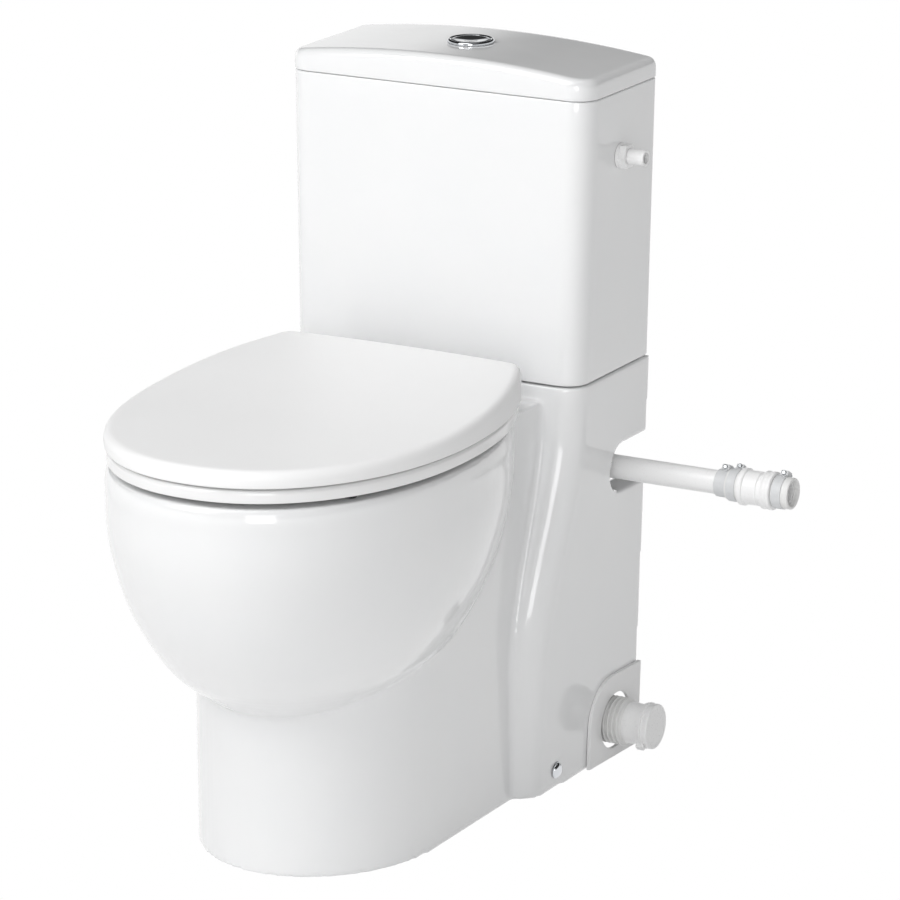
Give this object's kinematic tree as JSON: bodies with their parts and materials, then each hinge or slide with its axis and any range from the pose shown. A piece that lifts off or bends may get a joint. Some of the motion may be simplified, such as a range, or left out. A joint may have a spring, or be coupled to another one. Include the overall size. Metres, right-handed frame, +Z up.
{
  "type": "floor-standing toilet with macerator pump",
  "caption": "Close-coupled floor-standing toilet with a dual-flush cistern, a seat and lid, and a macerating pump in its rear column with a side discharge.",
  "frame": {"origin": "on the floor, in the plane of the wall behind, at the middle of the toilet", "axes": "+Z up, -Y out from the wall toward the user, +X to the right as seen from the front"},
  "size_m": [0.5582, 0.6749, 0.791],
  "materials": {
    "white_china": "glossy white vitreous china",
    "black_rubber": "matt moulded rubber",
    "white_plastic": "smooth white plastic with a soft sheen",
    "inner_plastic": "plain moulded plastic",
    "bright_chrome": "polished chrome",
    "stainless_steel": "brushed stainless steel",
    "motor_casting": "cast aluminium"
  },
  "bodies": {
    "toilet_body": {"pan": "white_china", "cistern": "white_china", "cistern_lid": "white_china", "cistern_gasket": "black_rubber", "cistern_washers": "black_rubber", "shaft_seal": "black_rubber", "pan_connector": "black_rubber", "coupling_sleeve": "black_rubber", "outlet_sleeve": "black_rubber", "fill_valve_body": "white_plastic", "inlet_nut": "white_plastic", "discharge_pipe": "white_plastic", "discharge_valve": "white_plastic", "inlet_fitting": "white_plastic", "blanking_cap": "white_plastic", "side_plate": "white_plastic", "inlet_bellows": "white_plastic", "flush_valve_base": "inner_plastic", "flush_valve_tower": "inner_plastic", "flush_valve_nut": "inner_plastic", "bezel_nut": "inner_plastic", "macerator_casing": "inner_plastic", "macerator_cover": "inner_plastic", "cable_gland": "inner_plastic", "pump_volute": "inner_plastic", "pump_riser": "inner_plastic", "discharge_elbow": "inner_plastic", "pressure_switch": "inner_plastic", "button_bezel": "bright_chrome", "screw_caps": "bright_chrome", "hinge_posts": "bright_chrome", "cistern_bolts": "stainless_steel", "hinge_pins": "stainless_steel", "hinge_bolts": "stainless_steel", "cover_screws": "stainless_steel", "motor_bearings": "stainless_steel", "cutter_basket": "stainless_steel", "flap_pin": "stainless_steel", "hose_clips": "stainless_steel", "clip_screws": "stainless_steel", "wall_screws": "stainless_steel", "floor_brackets": "stainless_steel", "floor_screws": "stainless_steel", "hinge_nuts": "stainless_steel", "wing_nuts": "stainless_steel", "motor_stator": "stainless_steel", "motor_housing": "motor_casting"},
    "ring_body": {"seat_ring": "white_plastic", "seat_buffers": "black_rubber"},
    "lid_body": {"seat_lid": "white_plastic", "lid_buffers": "black_rubber"},
    "full_button_body": {"full_flush_button": "bright_chrome"},
    "half_button_body": {"half_flush_button": "bright_chrome"},
    "overflow_body": {"overflow_tube": "inner_plastic", "flush_seal": "black_rubber"},
    "float_body": {"fill_valve_float": "inner_plastic"},
    "rotor_body": {"rotor_shaft": "stainless_steel", "grinder_blade": "stainless_steel", "pump_impeller": "inner_plastic"},
    "flap_body": {"nonreturn_flap": "inner_plastic"}
  },
  "joints": [
    {"name": "lid_hinge", "type": "hinge", "parent": "toilet_body", "child": "lid_body", "pos_m": [0, -0.216, 0.458], "axis": [-1, 0, 0], "range_deg": [0, 95]},
    {"name": "ring_hinge", "type": "hinge", "parent": "toilet_body", "child": "ring_body", "pos_m": [0, -0.216, 0.458], "axis": [-1, 0, 0], "range_deg": [0, 92]},
    {"name": "full_button_press", "type": "slide", "parent": "toilet_body", "child": "full_button_body", "axis": [0, 0, -1], "range_m": [0, 0.006], "stiffness_N_per_m": 400},
    {"name": "half_button_press", "type": "slide", "parent": "toilet_body", "child": "half_button_body", "axis": [0, 0, -1], "range_m": [0, 0.006], "stiffness_N_per_m": 400},
    {"name": "overflow_lift", "type": "slide", "parent": "toilet_body", "child": "overflow_body", "axis": [0, 0, 1], "range_m": [0, 0.0181]},
    {"name": "float_drop", "type": "slide", "parent": "toilet_body", "child": "float_body", "axis": [0, 0, -1], "range_m": [0, 0.03]},
    {"name": "rotor_spin", "type": "hinge", "parent": "toilet_body", "child": "rotor_body", "pos_m": [-0.015, -0.092, 0.2], "axis": [0, 0, 1], "continuous": true},
    {"name": "flap_swing", "type": "hinge", "parent": "toilet_body", "child": "flap_body", "pos_m": [0.32, -0.05, 0.344], "axis": [0, -1, 0], "range_deg": [0, 60]}
  ],
  "couplings": [
    {"joint": "ring_hinge", "follows": "lid_hinge", "ratio": 0.96},
    {"joint": "overflow_lift", "follows": "full_button_press", "ratio": 3}
  ]
}
